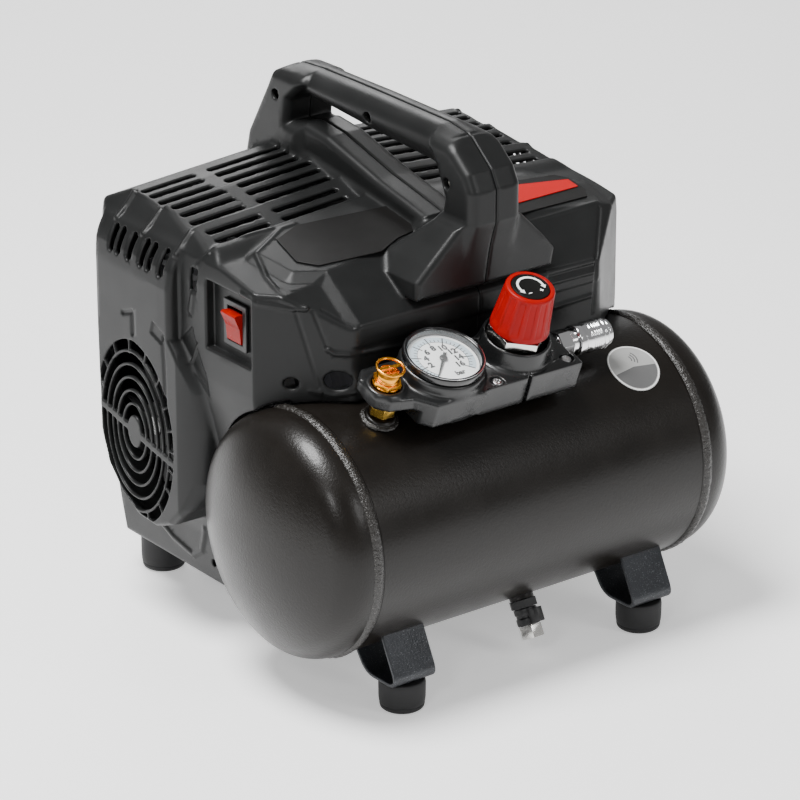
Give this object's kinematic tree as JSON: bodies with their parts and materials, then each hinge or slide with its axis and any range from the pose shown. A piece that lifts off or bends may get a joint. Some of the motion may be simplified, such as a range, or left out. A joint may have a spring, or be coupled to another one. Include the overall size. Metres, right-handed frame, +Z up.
{
  "type": "air compressor",
  "caption": "Portable oil-free air compressor: twin-piston pump in a handled plastic housing over a small horizontal tank on rubber feet.",
  "frame": {"origin": "floor plane, under the middle of the overall box", "axes": "+X along the tank towards the air outlet, +Y from the tank to the back of the housing, +Z up"},
  "size_m": [0.3492, 0.306, 0.345],
  "materials": {
    "tank_paint": "brown-black satin enamel with fine orange peel",
    "weld": "rough painted weld bead",
    "bracket_paint": "dark grey hammered paint",
    "rubber": "matt black rubber",
    "housing": "fine-grained dark grey moulded plastic",
    "inlay": "smooth black satin plastic film",
    "label_red": "glossy red film",
    "label_silver": "silver-grey printed film",
    "steel": "ground steel",
    "zinc": "zinc-plated steel",
    "aluminium": "die-cast aluminium",
    "copper": "annealed copper tube",
    "lamination": "stacked steel laminations",
    "nylon": "black glass-filled nylon",
    "chrome": "bright nickel and chrome plating",
    "brass": "turned brass with an orange tint",
    "knob_red": "glossy red moulded plastic",
    "rocker_red": "translucent orange-red plastic",
    "dial_white": "white printed dial",
    "needle_black": "black enamelled pointer",
    "lens": "clear window"
  },
  "bodies": {
    "chassis": {"tank_shell": "tank_paint", "tank_end_right": "tank_paint", "tank_end_left": "tank_paint", "weld_bead_right": "weld", "weld_bead_left": "weld", "outlet_boss": "tank_paint", "drain_boss": "tank_paint", "noise_label": "label_silver", "foot_bracket_right": "bracket_paint", "foot_bracket_left": "bracket_paint", "foot_front_left": "rubber", "foot_rear_left": "rubber", "foot_front_right": "rubber", "foot_rear_right": "rubber", "base_frame": "bracket_paint", "housing_left": "housing", "housing_right": "housing", "inlay_left": "inlay", "inlay_right": "inlay", "label_red": "label_red", "handle_screw_rear": "zinc", "handle_screw_middle": "zinc", "handle_screw_front": "zinc", "switch_body": "nylon", "motor_stator": "lamination", "crankcase_right": "aluminium", "crankcase_left": "aluminium", "pump_bracket_right": "zinc", "pump_bracket_left": "zinc", "cylinder_right": "aluminium", "cylinder_left": "aluminium", "cylinder_head_right": "aluminium", "cylinder_head_left": "aluminium", "head_link_pipe": "aluminium", "motor_capacitor": "nylon", "check_valve": "brass", "delivery_pipe": "copper", "pressure_switch": "nylon", "control_block": "nylon", "outlet_nipple": "brass", "gauge_case": "nylon", "gauge_dial": "dial_white", "gauge_lens": "lens", "regulator_nut": "chrome", "coupler_body": "chrome", "safety_valve_body": "brass", "drain_valve_body": "nylon"},
    "rotor": {"motor_rotor": "steel", "fan_left": "nylon", "fan_right": "nylon"},
    "piston_rod_left": {"piston_left": "aluminium"},
    "piston_rod_right": {"piston_right": "aluminium"},
    "rocker": {"switch_rocker": "rocker_red"},
    "regulator": {"regulator_knob": "knob_red", "knob_cap": "inlay"},
    "needle": {"gauge_needle": "needle_black"},
    "safety_pull": {"safety_valve_pull": "brass"},
    "sleeve": {"coupler_sleeve": "chrome"},
    "drain_screw": {"drain_knob": "chrome"}
  },
  "joints": [
    {"name": "rotor_spin", "type": "hinge", "parent": "chassis", "child": "rotor", "pos_m": [0, 0.08145, 0.13], "axis": [1, 0, 0], "continuous": true},
    {"name": "piston_left_pin", "type": "hinge", "parent": "rotor", "child": "piston_rod_left", "pos_m": [-0.084, 0.08145, 0.136], "axis": [1, 0, 0], "continuous": true},
    {"name": "piston_right_pin", "type": "hinge", "parent": "rotor", "child": "piston_rod_right", "pos_m": [0.084, 0.08145, 0.124], "axis": [1, 0, 0], "continuous": true},
    {"name": "switch_rock", "type": "hinge", "parent": "chassis", "child": "rocker", "pos_m": [-0.1385, -0.01545, 0.2315], "axis": [0, 1, 0], "range_deg": [0, 16]},
    {"name": "regulator_turn", "type": "hinge", "parent": "chassis", "child": "regulator", "pos_m": [0.005, -0.11551, 0.23116], "axis": [0, -0.342, 0.9397], "range_deg": [-1080, 0]},
    {"name": "gauge_pointer", "type": "hinge", "parent": "chassis", "child": "needle", "pos_m": [-0.052, -0.11107, 0.21894], "axis": [0, -0.342, 0.9397], "range_deg": [-270, 0], "stiffness_Nm_per_rad": 0.0004, "springref_deg": 17.19},
    {"name": "safety_valve_lift", "type": "slide", "parent": "chassis", "child": "safety_pull", "axis": [0, -0.342, 0.9397], "range_m": [0, 0.003], "stiffness_N_per_m": 600, "springref_m": -0.003},
    {"name": "coupler_sleeve_slide", "type": "slide", "parent": "chassis", "child": "sleeve", "axis": [-1, 0, 0], "range_m": [0, 0.004], "stiffness_N_per_m": 600, "springref_m": -0.003},
    {"name": "drain_screw_turn", "type": "hinge", "parent": "chassis", "child": "drain_screw", "pos_m": [0.013, -0.11988, 0.01717], "axis": [0, -0.4695, -0.8829], "range_deg": [0, 720]}
  ],
  "couplings": [
    {"joint": "piston_left_pin", "follows": "rotor_spin", "ratio": -1},
    {"joint": "piston_right_pin", "follows": "rotor_spin", "ratio": -1}
  ]
}
